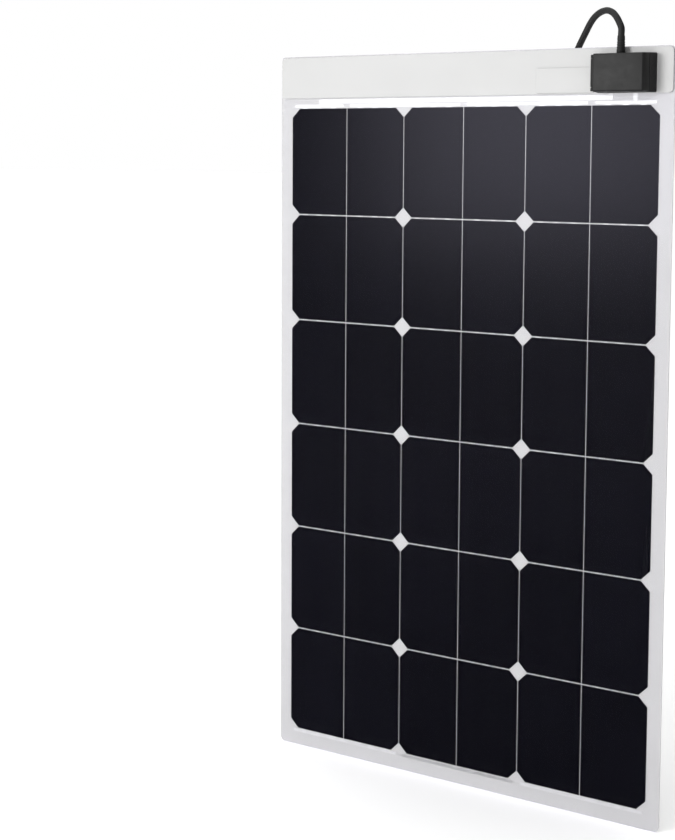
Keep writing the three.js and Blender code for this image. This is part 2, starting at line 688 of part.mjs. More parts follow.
// The far end lies on the floor past the hank: a shrink sleeve, then the two cores in crimped ferrules.
function addCableEnd() {
  const endY = HANK_MIDDLE_Y + HANK_OUTER_TURN_RADIUS - CABLE_RADIUS;
  const fromX = HANK_RIGHT_CENTRE_X + SLEEVE_START_FROM_CENTRE;
  const tip = new THREE.Vector3(fromX + SLEEVE_LENGTH, endY, FLOOR_Z + SLEEVE_RADIUS + 0.05);
  const start = new THREE.Vector3(fromX, endY, FLOOR_Z + SLEEVE_START_RISE);
  const direction = tip.clone().sub(start);
  const profile = [
    [0, 0],
    [SLEEVE_RADIUS, 0],
    [SLEEVE_RADIUS, direction.length()],
    [0, direction.length()],
  ];
  add('end_sleeve', turned(profile, start, direction), BLACK_RUBBER);

  const coreProfile = [
    [0, 0],
    [CORE_RADIUS, 0],
    [CORE_RADIUS, CORE_LENGTH],
    [FERRULE_RADIUS, CORE_LENGTH],
    [FERRULE_RADIUS, CORE_LENGTH + FERRULE_LENGTH],
    [0, CORE_LENGTH + FERRULE_LENGTH],
  ];
  const coreZ = FLOOR_Z + CORE_RADIUS + 0.05;
  for (const [name, side, look] of [['core_positive', -1, RED_CORE], ['core_negative', 1, BLACK_RUBBER]]) {
    const from = new THREE.Vector3(tip.x + 1, endY + side * (CORE_RADIUS + 0.2), coreZ);
    add(name, turned(coreProfile, from, new THREE.Vector3(1, side * CORE_SPLAY, 0), 12), look);
  }
}

addSheetLayers();
addCells();
addBuses();
addLeads();
addBoxBase();
addBoxLid();
addLidSeal();
addTerminal('positive_terminal', POSITIVE_TERMINAL_X);
addTerminal('negative_terminal', NEGATIVE_TERMINAL_X);
addBypassDiode();
addStrainRelief();
addCableRun();
addHank();
addCableEnd();

export default group;
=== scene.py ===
"""The looks of the flexible solar sheet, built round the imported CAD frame. Metres, +Z up, front faces -Y."""

import math
import random

import bmesh
import bpy
from mathutils import Matrix, Quaternion, Vector


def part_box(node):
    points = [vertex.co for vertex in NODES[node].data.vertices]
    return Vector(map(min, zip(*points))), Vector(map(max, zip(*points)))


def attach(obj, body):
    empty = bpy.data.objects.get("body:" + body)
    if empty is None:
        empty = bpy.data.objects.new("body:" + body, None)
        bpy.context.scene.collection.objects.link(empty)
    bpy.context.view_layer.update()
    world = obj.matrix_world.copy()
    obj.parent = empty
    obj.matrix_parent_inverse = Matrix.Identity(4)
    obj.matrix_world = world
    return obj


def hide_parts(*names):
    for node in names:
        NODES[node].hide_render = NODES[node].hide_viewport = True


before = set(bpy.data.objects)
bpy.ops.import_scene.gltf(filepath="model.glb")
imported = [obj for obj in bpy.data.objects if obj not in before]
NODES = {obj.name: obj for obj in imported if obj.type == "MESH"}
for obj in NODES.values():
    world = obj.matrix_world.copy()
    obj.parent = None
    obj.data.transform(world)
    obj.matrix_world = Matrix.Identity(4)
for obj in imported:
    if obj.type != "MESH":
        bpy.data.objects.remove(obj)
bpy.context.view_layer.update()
MM = 0.001

# ---- places, worked out from the frame --------------------------------------------------------

FLOOR_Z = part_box("carrier_sheet")[0].z
ENCAPSULANT_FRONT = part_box("rear_encapsulant")[0].y
BOX_TOP_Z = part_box("box_base")[1].z
RELIEF_LOW, RELIEF_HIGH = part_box("strain_relief")

CABLE_RADIUS = 3.5 * MM
CABLE_X = (RELIEF_LOW.x + RELIEF_HIGH.x) / 2
CABLE_Y = (RELIEF_LOW.y + RELIEF_HIGH.y) / 2


# ---- camera -------------------------------------------------------------------------------------


def add_camera():
    """The photograph's view: from the right of the front and a little above the middle."""
    azimuth = math.radians(33.9)
    pitch = math.radians(4.95)
    roll = math.radians(-0.29)
    distance = 1.97
    aim = Vector((-0.1695, 0, 0.139))
    forward = Vector(
        (-math.sin(azimuth) * math.cos(pitch), math.cos(azimuth) * math.cos(pitch), -math.sin(pitch))
    )
    data = bpy.data.cameras.new("camera")
    data.lens = 71.4
    data.sensor_width = 36
    data.shift_y = -0.15
    camera = bpy.data.objects.new("camera", data)
    bpy.context.scene.collection.objects.link(camera)
    camera.location = aim - forward * distance
    camera.rotation_mode = "QUATERNION"
    level = forward.to_track_quat("-Z", "Y")
    camera.rotation_quaternion = Quaternion(forward, roll) @ level
    bpy.context.scene.camera = camera


# ---- small helpers ------------------------------------------------------------------------------


def link(obj, body, material=None, replaces=()):
    """Puts a piece in the scene, on its body, its material and the nodes it stands for."""
    if obj.name not in bpy.context.scene.collection.objects:
        bpy.context.scene.collection.objects.link(obj)
    if material:
        obj.data.materials.clear()
        obj.data.materials.append(material)
    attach(obj, body)
    for node in replaces:
        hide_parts(node)
    return obj


def smooth(mesh, angle=35):
    """Smooth shading that keeps edges sharper than an angle crisp."""
    mesh.polygons.foreach_set("use_smooth", [True] * len(mesh.polygons))
    mesh.set_sharp_from_angle(angle=math.radians(angle))


def mesh_object(name, bm, angle=35):
    """Makes an object of a mesh under construction, with its faces turned outwards."""
    bmesh.ops.recalc_face_normals(bm, faces=bm.faces)
    mesh = bpy.data.meshes.new(name)
    bm.to_mesh(mesh)
    bm.free()
    smooth(mesh, angle)
    return bpy.data.objects.new(name, mesh)


def apply_modifiers(obj):
    """Bakes an object's modifiers into its mesh, and puts it in the scene if it isn't there yet."""
    if obj.name not in bpy.context.scene.collection.objects:
        bpy.context.scene.collection.objects.link(obj)
    depsgraph = bpy.context.evaluated_depsgraph_get()
    depsgraph.update()
    mesh = bpy.data.meshes.new_from_object(obj.evaluated_get(depsgraph))
    obj.modifiers.clear()
    obj.data = mesh
    return obj


def refined(node, name, bevel, segments=2, angle=35):
    """A copy of a CAD solid with its flat faces made whole and its sharp edges rounded."""
    bm = bmesh.new()
    bm.from_mesh(NODES[node].data)
    bmesh.ops.remove_doubles(bm, verts=bm.verts, dist=0.001 * MM)
    bmesh.ops.dissolve_limit(
        bm, angle_limit=math.radians(0.5), verts=bm.verts, edges=bm.edges, use_dissolve_boundaries=False
    )
    obj = mesh_object(name, bm, angle)
    modifier = obj.modifiers.new("edges", "BEVEL")
    modifier.width = bevel
    modifier.segments = segments
    modifier.limit_method = "ANGLE"
    modifier.angle_limit = math.radians(angle)
    modifier.use_clamp_overlap = True
    modifier.harden_normals = False
    apply_modifiers(obj)
    smooth(obj.data, angle)
    return obj


def lathe_mesh(profile, sides=48):
    """A turned solid about +Z from [radius, height] pairs that start and end on the axis."""
    bm = bmesh.new()
    rings = []
    for radius, height in profile:
        if radius == 0:
            rings.append([bm.verts.new((0, 0, height))])
            continue
        rings.append(
            [
                bm.verts.new((radius * math.cos(a), radius * math.sin(a), height))
                for a in (2 * math.pi * k / sides for k in range(sides))
            ]
        )
    for low, high in zip(rings, rings[1:]):
        for k in range(sides):
            after = (k + 1) % sides
            if len(low) == 1 and len(high) > 1:
                bm.faces.new((low[0], high[after], high[k]))
            elif len(high) == 1 and len(low) > 1:
                bm.faces.new((low[k], low[after], high[0]))
            elif len(low) > 1:
                bm.faces.new((low[k], low[after], high[after], high[k]))
    return bm


def turned(name, profile, start, direction=(0, 0, 1), sides=48, angle=35):
    """A turned piece that starts at a place and points in a direction."""
    bm = lathe_mesh(profile, sides)
    turn = Vector((0, 0, 1)).rotation_difference(Vector(direction).normalized())
    bmesh.ops.transform(bm, verts=bm.verts, matrix=Matrix.Translation(start) @ turn.to_matrix().to_4x4())
    return mesh_object(name, bm, angle)


def add_block(bm, low, high):
    """Adds a plain block between two corners to a mesh under construction."""
    for vert in bmesh.ops.create_cube(bm, size=1.0)["verts"]:
        vert.co = Vector([low[i] + (vert.co[i] + 0.5) * (high[i] - low[i]) for i in range(3)])


def tube(name, points, radius, resolution):
    """A round tube with closed ends along a dense list of points."""
    curve = bpy.data.curves.new(name, "CURVE")
    curve.dimensions = "3D"
    curve.bevel_depth = radius
    curve.bevel_resolution = resolution
    curve.use_fill_caps = True
    spline = curve.splines.new("POLY")
    spline.points.add(len(points) - 1)
    for point, place in zip(spline.points, points):
        point.co = (*place, 1)
    spline.use_smooth = True
    return bpy.data.objects.new(name, curve)


def catmull_rom(points, per_stretch=8):
    """Centripetal Catmull-Rom through the points, as a dense list."""
    ends = [points[0] * 2 - points[1], *points, points[-1] * 2 - points[-2]]
    dense = []
    for p0, p1, p2, p3 in zip(ends, ends[1:], ends[2:], ends[3:]):
        t0 = 0.0
        t1 = t0 + (p1 - p0).length ** 0.5
        t2 = t1 + (p2 - p1).length ** 0.5
        t3 = t2 + (p3 - p2).length ** 0.5
        for k in range(per_stretch):
            t = t1 + (t2 - t1) * k / per_stretch
            a1 = p0.lerp(p1, (t - t0) / (t1 - t0))
            a2 = p1.lerp(p2, (t - t1) / (t2 - t1))
            a3 = p2.lerp(p3, (t - t2) / (t3 - t2))
            b1 = a1.lerp(a2, (t - t0) / (t2 - t0))
            b2 = a2.lerp(a3, (t - t1) / (t3 - t1))
            dense.append(b1.lerp(b2, (t - t1) / (t2 - t1)))
    dense.append(points[-1].copy())
    return dense


def ease(share):
    """0 to 1 along a smooth step."""
    share = min(max(share, 0.0), 1.0)
    return share * share * (3 - 2 * share)


# ---- materials ----------------------------------------------------------------------------------


class Look:
    """A node material with one Principled shader, and short ways to vary and texture it."""

    def __init__(self, name, colour, roughness, metallic=0.0, specular=0.5):
        self.material = bpy.data.materials.new(name)
        self.material.use_nodes = True
        self.material.diffuse_color = (*colour, 1)
        self.tree = self.material.node_tree
        self.shader = self.tree.nodes["Principled BSDF"]
        self.colour = colour
        self.set("Base Color", (*colour, 1))
        self.set("Roughness", roughness)
        self.set("Metallic", metallic)
        self.set("Specular IOR Level", specular)
        self.height = None
        self.place = self.tree.nodes.new("ShaderNodeTexCoord").outputs["Object"]

    def set(self, socket, value):
        self.shader.inputs[socket].default_value = value

    def node(self, kind, **inputs):
        made = self.tree.nodes.new(kind)
        for key, value in inputs.items():
            made.inputs[key.replace("_", " ")].default_value = value
        return made

    def join(self, out, into):
        self.tree.links.new(out, into)

    def noise(self, scale, detail=3.0, roughness=0.55, stretch=None):
        """Noise in the piece's own space, drawn out along the axes whose stretch is small."""
        made = self.node("ShaderNodeTexNoise", Scale=scale, Detail=detail, Roughness=roughness)
        place = self.place
        if stretch:
            mapping = self.node("ShaderNodeMapping", Scale=stretch)
            self.join(self.place, mapping.inputs["Vector"])
            place = mapping.outputs["Vector"]
        self.join(place, made.inputs["Vector"])
        return made.outputs["Fac"]

    def ramp(self, value, low, high, out_low, out_high):
        """A value between low and high, moved to lie between out_low and out_high."""
        made = self.node("ShaderNodeMapRange")
        limits = {"From Min": low, "From Max": high, "To Min": out_low, "To Max": out_high}
        for socket, number in limits.items():
            made.inputs[socket].default_value = number
        self.join(value, made.inputs["Value"])
        return made.outputs["Result"]

    def mottle(self, scale, amount, detail=3.0, stretch=None):
        """Slow lightness changes of the base colour."""
        change = self.ramp(self.noise(scale, detail, stretch=stretch), 0.3, 0.7, 1 - amount, 1 + amount)
        mix = self.node("ShaderNodeVectorMath")
        mix.operation = "SCALE"
        mix.inputs[0].default_value = self.colour
        self.join(change, mix.inputs["Scale"])
        self.join(mix.outputs["Vector"], self.shader.inputs["Base Color"])
        return self

    def vary_roughness(self, scale, low, high):
        """Slow changes of the roughness between two values."""
        self.join(self.ramp(self.noise(scale), 0.3, 0.7, low, high), self.shader.inputs["Roughness"])
        return self

    def bump(self, value, distance, strength=1.0):
        """Adds one more layer of relief."""
        made = self.node("ShaderNodeBump", Distance=distance, Strength=strength)
        self.join(value, made.inputs["Height"])
        if self.height:
            self.join(self.height, made.inputs["Normal"])
        self.height = made.outputs["Normal"]
        self.join(self.height, self.shader.inputs["Normal"])
        return self


def cell_look(variant):
    """Anti-reflection coated silicon: blue-black, very slightly different from cell to cell."""
    shade = (0.9, 1.0, 1.12)[variant]
    look = Look(f"silicon_{variant}", (0.0019 * shade, 0.0019 * shade, 0.0035 * shade), 0.42, specular=0.0)
    look.mottle(9, 0.14, detail=4)
    look.vary_roughness(30, 0.38, 0.5)
    look.bump(look.noise(260, 2), 0.01 * MM, 0.1)
    return look.material


def carrier_look():
    """White glass-fibre laminate: satin, with the faint print of the weave."""
    look = Look("white_laminate", (0.8, 0.8, 0.795), 0.5, specular=0.3)
    look.mottle(6, 0.015)
    look.vary_roughness(20, 0.44, 0.56)
    for turn in (0, math.pi / 2):
        mapping = look.node("ShaderNodeMapping", Rotation=(0, turn, 0))
        look.join(look.place, mapping.inputs["Vector"])
        wave = look.node("ShaderNodeTexWave", Scale=420.0, Distortion=0.6, Detail=1.0)
        look.join(mapping.outputs["Vector"], wave.inputs["Vector"])
        look.bump(wave.outputs["Fac"], 0.05 * MM, 0.35)
    return look.material


def encapsulant_look():
    """The white sheet behind the cells, seen through the film in the borders and gaps."""
    look = Look("white_encapsulant", (0.475, 0.473, 0.474), 0.6, specular=0.1)
    look.mottle(12, 0.015)
    look.bump(look.noise(160, 2), 0.05 * MM, 0.3)
    return look.material


def film_look():
    """The clear front film: a weak, softened reflection over whatever lies behind it."""
    material = bpy.data.materials.new("clear_film")
    material.use_nodes = True
    material.diffuse_color = (0.95, 0.95, 0.95, 0.15)
    tree = material.node_tree
    tree.nodes.clear()
    clear = tree.nodes.new("ShaderNodeBsdfTransparent")
    gloss = tree.nodes.new("ShaderNodeBsdfGlossy")
    gloss.inputs["Color"].default_value = (0.84, 0.82, 1.0, 1)
    gloss.inputs["Roughness"].default_value = 0.23
    fresnel = tree.nodes.new("ShaderNodeFresnel")
    fresnel.inputs["IOR"].default_value = 1.125
    mix = tree.nodes.new("ShaderNodeMixShader")
    out = tree.nodes.new("ShaderNodeOutputMaterial")
    place = tree.nodes.new("ShaderNodeTexCoord")
    dimples = tree.nodes.new("ShaderNodeTexNoise")
    dimples.inputs["Scale"].default_value = 700
    dimples.inputs["Detail"].default_value = 2
    bump = tree.nodes.new("ShaderNodeBump")
    bump.inputs["Distance"].default_value = 0.04 * MM
    bump.inputs["Strength"].default_value = 0.3
    for source, into in (
        (place.outputs["Object"], dimples.inputs["Vector"]),
        (dimples.outputs["Fac"], bump.inputs["Height"]),
        (bump.outputs["Normal"], gloss.inputs["Normal"]),
        (fresnel.outputs["Fac"], mix.inputs[0]),
        (clear.outputs["BSDF"], mix.inputs[1]),
        (gloss.outputs["BSDF"], mix.inputs[2]),
        (mix.outputs["Shader"], out.inputs["Surface"]),
    ):
        tree.links.new(source, into)
    return material


def ribbon_look():
    """Tinned copper ribbon, dulled by the encapsulant over it."""
    look = Look("tinned_ribbon", (0.54, 0.54, 0.55), 0.5, metallic=0.3)
    look.mottle(80, 0.08)
    look.bump(look.noise(500, 2, stretch=(0.15, 1, 1)), 0.03 * MM, 0.4)
    return look.material


def trim_look():
    """Satin white plastic of the top strip and the cover plate."""
    look = Look("white_trim", (0.435, 0.435, 0.433), 0.5, specular=0.2)
    look.mottle(10, 0.012)
    look.vary_roughness(40, 0.38, 0.48)
    look.bump(look.noise(600, 2), 0.03 * MM, 0.35)
    return look.material


def box_look():
    """Dark grey glass-filled plastic with a fine spark-eroded grain."""
    look = Look("box_plastic", (0.0105, 0.0105, 0.0105), 0.46, specular=0.16)
    look.mottle(45, 0.07)
    look.vary_roughness(120, 0.43, 0.51)
    look.bump(look.noise(1500, 3), 0.05 * MM, 0.35)
    return look.material


def rubber_look(name="black_rubber", shade=0.012, roughness=0.6):
    """Black rubber or cable sheath with a faint bloom."""
    look = Look(name, (shade, shade, shade), roughness, specular=0.18)
    look.mottle(60, 0.15)
    look.vary_roughness(150, roughness - 0.07, roughness + 0.08)
    look.bump(look.noise(1200, 2), 0.04 * MM, 0.35)
    return look.material


def terminal_look(name="terminal_metal", colour=(0.4, 0.37, 0.3)):
    """Plated metal with a brushed grain."""
    look = Look(name, colour, 0.34, metallic=1.0)
    look.mottle(150, 0.1)
    look.vary_roughness(200, 0.28, 0.46)
    look.bump(look.noise(900, 2, stretch=(1, 1, 0.2)), 0.02 * MM, 0.4)
    return look.material


def epoxy_look(name="black_epoxy", colour=(0.01, 0.01, 0.011), roughness=0.4):
    """Moulded epoxy, paint or core insulation."""
    look = Look(name, colour, roughness, specular=0.5)
    look.mottle(200, 0.1)
    look.bump(look.noise(1400, 2), 0.02 * MM, 0.3)
    return look.material


def tie_look():
    """Black hook-and-loop tape."""
    look = Look("tie_tape", (0.02, 0.02, 0.021), 0.9, specular=0.2)
    look.set("Sheen Weight", 0.35)
    look.mottle(400, 0.35)
    look.bump(look.noise(2200, 3), 0.15 * MM, 0.8)
    return look.material


def floor_look():
    """Plain white studio floor."""
    look = Look("floor", (0.92, 0.92, 0.92), 0.8, specular=0.1)
    look.mottle(2, 0.006)
    return look.material


# ---- the cable ------------------------------------------------------------------------------------

# The route of the free stretch in its own upright plane, as in the CAD: how far along, and how high.
CABLE_ROUTE = [
    (0.0, 0.4294), (0.0, 0.4368), (0.0035, 0.443), (0.0076, 0.4484), (0.0134, 0.4533),
    (0.021, 0.4562), (0.0284, 0.4562), (0.0362, 0.454), (0.043, 0.4502), (0.0488, 0.445),
    (0.0556, 0.4364), (0.0632, 0.4264), (0.07, 0.4168), (0.0752, 0.4076), (0.0788, 0.3976),
    (0.0808, 0.386), (0.0814, 0.372), (0.08, 0.32), (0.0752, 0.19), (0.07, 0.04),
    (0.0646, -0.12), (0.0598, -0.26), (0.0566, -0.35),
]
ARCH_TURN = math.radians(24)
FLOOR_BEND_RADIUS = 30 * MM

HANK_LOW, HANK_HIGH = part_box("cable_hank")
HANK_MIDDLE_Y = (HANK_LOW.y + HANK_HIGH.y) / 2
OUTER_TURN = (HANK_HIGH.y - HANK_LOW.y) / 2 - CABLE_RADIUS
INNER_TURN = OUTER_TURN - 2 * CABLE_RADIUS
TOP_TURN = OUTER_TURN - CABLE_RADIUS
RIGHT_CENTRE_X = HANK_HIGH.x - OUTER_TURN - CABLE_RADIUS
LEFT_CENTRE_X = HANK_LOW.x + OUTER_TURN + CABLE_RADIUS
TIE_THICKNESS = 0.8 * MM
TIE_WIDTH = 12 * MM
TIE_FROM_MIDDLE = 6 * MM
FLOOR_LAYER_Z = FLOOR_Z + CABLE_RADIUS + TIE_THICKNESS
TOP_LAYER_RISE = 6.1 * MM
HUMP_RISE = 7 * MM  # where a cable crosses straight over another
CLIMB_SHARE = 0.75  # how much of that rise comes before the round end
ENTRY_FROM_CENTRE = 20 * MM
LAST_RISE_START = 10 * MM
LAST_RISE_END = 12 * MM


def free_stretch():
    """Out of the strain relief, over the sheet's top edge, and down behind it to the hank."""
    along = Vector((-math.cos(ARCH_TURN), math.sin(ARCH_TURN), 0))
    start = Vector((CABLE_X, CABLE_Y, 0))
    points = [start + along * distance + Vector((0, 0, height)) for distance, height in CABLE_ROUTE]
    points[0].z = RELIEF_HIGH.z
    drop = points[-1]
    for degrees in (0, 15, 30, 45, 60, 75, 90):
        angle = math.radians(degrees)
        x = drop.x - FLOOR_BEND_RADIUS * (1 - math.cos(angle))
        z = FLOOR_LAYER_Z + FLOOR_BEND_RADIUS * (1 - math.sin(angle))
        points.append(Vector((x, drop.y, z)))
    points.append(Vector((RIGHT_CENTRE_X + ENTRY_FROM_CENTRE, drop.y, FLOOR_LAYER_Z)))
    return catmull_rom(points)


def straight_run(from_x, to_x, y, rise_from=0.0, rise_to=0.0, steps=12):
    """Along one side of the hank, with a smooth change of height."""
    points = []
    for k in range(1, steps + 1):
        share = k / steps
        x = from_x + (to_x - from_x) * share
        points.append(Vector((x, y, FLOOR_LAYER_Z + rise_from + (rise_to - rise_from) * ease(share))))
    return points


def half_turn(centre_x, side, radius_from, radius_to, rise=lambda share: 0.0, steps=16):
    """Round one end of the hank. Side -1 is the left end, which goes from the front line to the rear one."""
    points = []
    for k in range(1, steps + 1):
        share = k / steps
        radius = radius_from + (radius_to - radius_from) * share
        angle = math.pi * share
        x = centre_x + side * radius * math.sin(angle)
        y = HANK_MIDDLE_Y + side * radius * math.cos(angle)
        points.append(Vector((x, y, FLOOR_LAYER_Z + rise(share))))
    return points


def hank_turns():
    """Outer turn, inner turn, then one in the groove on top of them, and over the end to the sleeve."""
    left, right = LEFT_CENTRE_X, RIGHT_CENTRE_X
    front, rear = -1, 1

    def climb(share):
        return CLIMB_SHARE * HUMP_RISE + (1 - CLIMB_SHARE) * HUMP_RISE * ease(share * 4)

    def settle(share):
        return climb(share) - (HUMP_RISE - TOP_LAYER_RISE) * ease(share * 2 - 1)

    points = straight_run(right + ENTRY_FROM_CENTRE, left, HANK_MIDDLE_Y + front * OUTER_TURN)
    points += half_turn(left, -1, OUTER_TURN, OUTER_TURN)
    points += straight_run(left, right, HANK_MIDDLE_Y + rear * OUTER_TURN)
    points += half_turn(right, 1, OUTER_TURN, INNER_TURN)
    points += straight_run(right, left, HANK_MIDDLE_Y + front * INNER_TURN)
    points += half_turn(left, -1, INNER_TURN, INNER_TURN)
    points += straight_run(left, right, HANK_MIDDLE_Y + rear * INNER_TURN, 0.0, CLIMB_SHARE * HUMP_RISE)
    points += half_turn(right, 1, INNER_TURN, TOP_TURN, settle)
    points += straight_run(right, left, HANK_MIDDLE_Y + front * TOP_TURN, TOP_LAYER_RISE, TOP_LAYER_RISE)
    points += half_turn(left, -1, TOP_TURN, TOP_TURN, lambda share: TOP_LAYER_RISE)
    rear_line = HANK_MIDDLE_Y + rear * TOP_TURN
    rise_start = right - LAST_RISE_START
    points += straight_run(left, rise_start, rear_line, TOP_LAYER_RISE, TOP_LAYER_RISE)
    points += straight_run(rise_start, right + LAST_RISE_END, rear_line, TOP_LAYER_RISE, HUMP_RISE, steps=5)
    return points


SLEEVE_LOW, SLEEVE_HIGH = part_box("end_sleeve")
SLEEVE_RADIUS = 4.2 * MM
SLEEVE_Y = (SLEEVE_LOW.y + SLEEVE_HIGH.y) / 2
SLEEVE_END_SPACE = 0.5 * MM
FLOOR_AIR = 0.05 * MM
SLEEVE_START = Vector((SLEEVE_LOW.x + SLEEVE_END_SPACE, SLEEVE_Y, SLEEVE_HIGH.z - SLEEVE_RADIUS))
SLEEVE_TIP = Vector((SLEEVE_HIGH.x - SLEEVE_END_SPACE, SLEEVE_Y, FLOOR_Z + SLEEVE_RADIUS + FLOOR_AIR))
CORE_RADIUS = 1.6 * MM
CORE_FROM_MIDDLE = 1.8 * MM
CORE_SPLAY = 0.12


def add_cable(jacket):
    """The cable from the strain relief to just inside the end sleeve, with the place where it starts."""
    points = free_stretch() + hank_turns()
    slope = (SLEEVE_TIP - SLEEVE_START).normalized()
    points += [SLEEVE_START + slope * 1 * MM, SLEEVE_START + slope * 8 * MM]
    cable = tube("cable", points, CABLE_RADIUS, 6)
    link(cable, "panel", jacket, ["cable_run", "cable_hank"])
    return cable, points[0]


def add_end_sleeve(rubber):
    """Adhesive-lined shrink sleeve: thickest over the jacket, drawn in over the two cores."""
    long = (SLEEVE_TIP - SLEEVE_START).length
    radius = SLEEVE_RADIUS
    profile = [
        (0, 0.02), (0.84, 0.0), (0.92, 0.01), (0.97, 0.05), (0.99, 0.2), (0.96, 0.45),
        (0.93, 0.62), (0.86, 0.72), (0.8, 0.82), (0.78, 0.94), (0.72, 0.99), (0.6, 1.0), (0, 1.0),
    ]
    points = [(r * radius, h * long) for r, h in profile]
    sleeve = turned("end_sleeve_shrunk", points, SLEEVE_START, SLEEVE_TIP - SLEEVE_START, angle=50)
    return link(sleeve, "panel", rubber, ["end_sleeve"])


def add_core_end(name, node, insulation, metal):
    """A core on the floor: its insulation, the ferrule's collar and the crimped metal tube."""
    low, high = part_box(node)
    side = 1 if (low.y + high.y) / 2 > SLEEVE_Y else -1
    start_y = SLEEVE_Y + side * CORE_FROM_MIDDLE
    start = Vector((low.x + 0.2 * MM, start_y, FLOOR_Z + CORE_RADIUS + FLOOR_AIR))
    direction = Vector((1, side * CORE_SPLAY, 0)).normalized()
    skin = [(0, -5), (1.5, -5), (1.6, -4.9), (1.6, 27), (1.5, 27.4), (0, 27.4)]
    collar = [(0, 26), (1.25, 26), (1.6, 26.4), (1.6, 29.4), (1.5, 30.2), (1.15, 31), (0, 31)]
    crimp = [(0, 30), (1.0, 30)]
    for k in range(7):
        up = 1.2 * k
        crimp += [(1.1, 31.4 + up), (1.1, 31.9 + up), (0.96, 32.2 + up), (0.96, 32.5 + up)]
    crimp += [(1.02, 39.8), (0.8, 40), (0, 40)]
    parts = (("insulation", skin, insulation), ("collar", collar, insulation), ("ferrule", crimp, metal))
    made = []
    for part, profile, look in parts:
        points = [(r * MM, h * MM) for r, h in profile]
        piece = turned(f"{name}_{part}", points, start, direction, sides=28, angle=40)
        made.append(link(piece, "panel", look))
    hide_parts(node)
    return made


def tie_outline(centre_y, steps=10):
    """A band's line round the three cables of one side of the hank, as a hull of three round corners."""
    radius = CABLE_RADIUS + TIE_THICKNESS / 2
    sides = [
        (Vector((0, centre_y, FLOOR_LAYER_Z + TOP_LAYER_RISE)), 30, 150),
        (Vector((0, centre_y - CABLE_RADIUS, FLOOR_LAYER_Z)), 150, 270),
        (Vector((0, centre_y + CABLE_RADIUS, FLOOR_LAYER_Z)), 270, 390),
    ]
    line = []
    for centre, first, last in sides:
        for k in range(steps + 1):
            angle = math.radians(first + (last - first) * k / steps)
            line.append(centre + Vector((0, math.cos(angle), math.sin(angle))) * radius)
    return line


def add_tie(name, side, tape):
    """Hook-and-loop tape round one side of the hank, with its free end lapped over the top."""
    middle_x = (LEFT_CENTRE_X + RIGHT_CENTRE_X) / 2 + side * TIE_FROM_MIDDLE
    line = tie_outline(HANK_MIDDLE_Y + side * TOP_TURN)
    middle = sum(line, Vector()) / len(line)
    bm = bmesh.new()
    rings = []
    lap = 8
    ramp = 4
    section = [(-0.5, -0.5), (0.5, -0.5), (0.5, 0.5), (-0.5, 0.5)]
    for k in range(len(line) + lap):
        place = line[k % len(line)]
        out = (place - middle).normalized()
        lift = ease((k - len(line) + ramp) / ramp)
        ring = []
        for across, outward in section:
            sideways = Vector((middle_x + across * TIE_WIDTH, 0, 0))
            ring.append(bm.verts.new(place + out * TIE_THICKNESS * (lift + outward) + sideways))
        rings.append(ring)
    for a, b in zip(rings, rings[1:]):
        for k in range(4):
            bm.faces.new((a[k], a[(k + 1) % 4], b[(k + 1) % 4], b[k]))
    bm.faces.new(rings[0][::-1])
    bm.faces.new(rings[-1])
    return link(mesh_object(name, bm, 50), "panel", tape)


# ---- the sheet ------------------------------------------------------------------------------------


def finish_sheet(looks):
    """Materials for the laminate's CAD solids."""
    shades = random.Random(5)
    for name, obj in NODES.items():
        if name.startswith("cell_"):
            look = looks["cells"][shades.randrange(3)]
        elif "ribbon" in name:
            look = looks["ribbon"]
        else:
            look = {
                "carrier_sheet": looks["carrier"],
                "rear_encapsulant": looks["encapsulant"],
                "front_film": looks["film"],
                "top_cover_strip": looks["trim"],
                "lid_seal": looks["rubber"],
            }.get(name)
        if look:
            obj.data.materials.clear()
            obj.data.materials.append(look)


def add_interconnects(metal):
    """Tinned tabs that bridge the gaps between a string's cells, and reach its bus ribbons."""
    bm = bmesh.new()
    width = 7 * MM
    places_across = (0.24, 0.5, 0.76)
    back = ENCAPSULANT_FRONT - 0.03 * MM
    front = ENCAPSULANT_FRONT - 0.2 * MM
    air = 0.1 * MM
    bus_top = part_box("bus_ribbon_top_s2_s3")[0].z
    bus_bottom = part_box("bus_ribbon_bottom_s1_s2")[1].z
    strings = rows = range(1, 7)
    for string in strings:
        cells = [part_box(f"cell_s{string}_r{row}") for row in rows]
        left, right = cells[0][0].x, cells[0][1].x
        spans = [(lower[1].z, upper[0].z) for upper, lower in zip(cells, cells[1:])]
        spans += [(cells[0][1].z, bus_top), (bus_bottom, cells[-1][0].z)]
        for low, high in spans:
            for share in places_across:
                x = left + share * (right - left)
                add_block(bm, (x - width / 2, front, low + air), (x + width / 2, back, high - air))
    return link(mesh_object("interconnect_tabs", bm), "panel", metal)


# ---- the junction box -------------------------------------------------------------------------------


